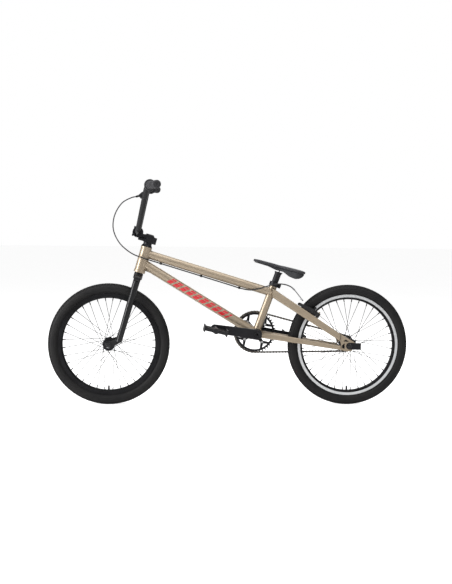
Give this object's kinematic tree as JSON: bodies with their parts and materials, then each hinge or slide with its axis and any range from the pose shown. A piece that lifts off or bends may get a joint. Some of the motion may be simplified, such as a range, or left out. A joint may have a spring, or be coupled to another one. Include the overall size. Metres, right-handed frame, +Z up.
{
  "type": "bmx bicycle",
  "caption": "Small-wheeled racing bicycle with a low sloping frame, high-rise handlebar with crossbar, single-speed chain drive, platform pedals and a rear rim brake.",
  "frame": {"origin": "on the ground, in the bike's middle plane, midway between the two axles", "axes": "+X forward, +Y to the rider's left, +Z up"},
  "size_m": [1.4819, 0.7168, 0.9148],
  "materials": {
    "frame_paint": "satin champagne paint",
    "black_paint": "satin black paint",
    "black_anodised": "satin black anodised",
    "black_lever": "satin black",
    "pedal_metal": "black, worn",
    "tyre": "matt black tread",
    "inner_tube": "matt",
    "grip_rubber": "matt ribbed",
    "rim_silver": "machined silver brake track",
    "spoke_black": "black plated",
    "chain_steel": "oiled dark steel",
    "steel": "bright steel",
    "black_nut": "black plated",
    "cable_housing": "semi gloss black sleeve",
    "saddle_shell": "matt black plastic",
    "saddle_cover": "matt dark grey synthetic cover"
  },
  "bodies": {
    "frame": {"head_tube": "frame_paint", "top_tube": "frame_paint", "down_tube": "frame_paint", "seat_tube": "frame_paint", "bottom_bracket_shell": "frame_paint", "chain_stays": "frame_paint", "seat_stays": "frame_paint", "rear_dropouts": "frame_paint", "brake_bosses": "frame_paint", "frame_gussets": "frame_paint", "headset_bearings": "steel", "bottom_bracket_bearings": "black_anodised", "seat_clamp": "black_anodised", "cable_clips": "steel", "brake_cable": "cable_housing", "chain_tensioners": "black_anodised", "rear_axle": "black_nut", "rear_axle_nuts": "black_nut", "drive_chain": "chain_steel"},
    "seat": {"seat_post": "black_anodised", "saddle_base": "saddle_shell", "saddle_pad": "saddle_cover", "saddle_bolt": "steel"},
    "steering": {"fork_steerer": "black_paint", "fork_leg_left": "black_paint", "fork_leg_right": "black_paint", "stem_body": "black_anodised", "stem_faceplate": "black_anodised", "stem_bolts": "steel", "headset_spacers": "black_anodised", "handlebar": "black_paint", "grips": "grip_rubber", "brake_lever_perch": "black_lever", "front_axle": "black_nut", "front_axle_nuts": "black_nut", "brake_cable_loop": "cable_housing"},
    "front_wheel": {"front_tyre": "tyre", "front_inner_tube": "inner_tube", "front_rim": "black_anodised", "front_spokes": "spoke_black", "front_hub": "black_anodised", "front_hub_bearings": "steel"},
    "rear_wheel": {"rear_tyre": "tyre", "rear_inner_tube": "inner_tube", "rear_rim": "rim_silver", "rear_spokes": "spoke_black", "rear_hub": "black_anodised", "rear_hub_bearings": "steel"},
    "cog": {"rear_cog": "steel"},
    "crank": {"crank_arm_left": "black_anodised", "crank_arm_right": "black_anodised", "crank_spindle": "steel", "chainring": "black_anodised", "crankset_bolts": "steel", "pedal_spindles": "steel"},
    "left_pedal": {"pedal_left": "pedal_metal"},
    "right_pedal": {"pedal_right": "pedal_metal"},
    "lever": {"brake_lever_blade": "black_lever"},
    "left_arm": {"brake_arm_left": "black_lever"},
    "right_arm": {"brake_arm_right": "black_lever"}
  },
  "joints": [
    {"name": "steering_turn", "type": "hinge", "parent": "frame", "child": "steering", "pos_m": [0.45739, 0, 0.23908], "axis": [-0.2756, 0, 0.9613], "range_deg": [-80, 80], "deforming": ["brake_cable_loop"]},
    {"name": "seat_height", "type": "slide", "parent": "frame", "child": "seat", "axis": [-0.342, 0, 0.9397], "range_m": [-0.012, 0.03]},
    {"name": "front_wheel_spin", "type": "hinge", "parent": "steering", "child": "front_wheel", "pos_m": [0.492, 0, 0.249], "axis": [0, 1, 0], "continuous": true},
    {"name": "rear_wheel_spin", "type": "hinge", "parent": "frame", "child": "rear_wheel", "pos_m": [-0.492, 0, 0.249], "axis": [0, 1, 0], "continuous": true},
    {"name": "crank_spin", "type": "hinge", "parent": "frame", "child": "crank", "pos_m": [-0.11089, 0, 0.296], "axis": [0, 1, 0], "continuous": true, "deforming": ["drive_chain"]},
    {"name": "cog_spin", "type": "hinge", "parent": "frame", "child": "cog", "pos_m": [-0.492, 0, 0.249], "axis": [0, 1, 0], "continuous": true},
    {"name": "pedal_left_spin", "type": "hinge", "parent": "crank", "child": "left_pedal", "pos_m": [0.06162, 0, 0.31871], "axis": [0, 1, 0], "continuous": true},
    {"name": "pedal_right_spin", "type": "hinge", "parent": "crank", "child": "right_pedal", "pos_m": [-0.2834, 0, 0.27329], "axis": [0, 1, 0], "continuous": true},
    {"name": "lever_pull", "type": "hinge", "parent": "steering", "child": "lever", "pos_m": [0.36465, -0.22061, 0.86224], "axis": [-0.6278, 0.138, -0.766], "range_deg": [0, 10], "stiffness_Nm_per_rad": 2, "springref_deg": -11.46, "deforming": ["brake_cable"]},
    {"name": "left_arm_swing", "type": "hinge", "parent": "frame", "child": "left_arm", "pos_m": [-0.36079, 0.042, 0.37222], "axis": [-0.5444, 0, 0.8388], "range_deg": [-2.1, 0]},
    {"name": "right_arm_swing", "type": "hinge", "parent": "frame", "child": "right_arm", "pos_m": [-0.36079, -0.042, 0.37222], "axis": [-0.5444, 0, 0.8388], "range_deg": [0, 2.1]}
  ],
  "couplings": [
    {"joint": "cog_spin", "follows": "crank_spin", "ratio": 2.625},
    {"joint": "left_arm_swing", "follows": "lever_pull", "ratio": -0.21},
    {"joint": "right_arm_swing", "follows": "lever_pull", "ratio": 0.21}
  ]
}
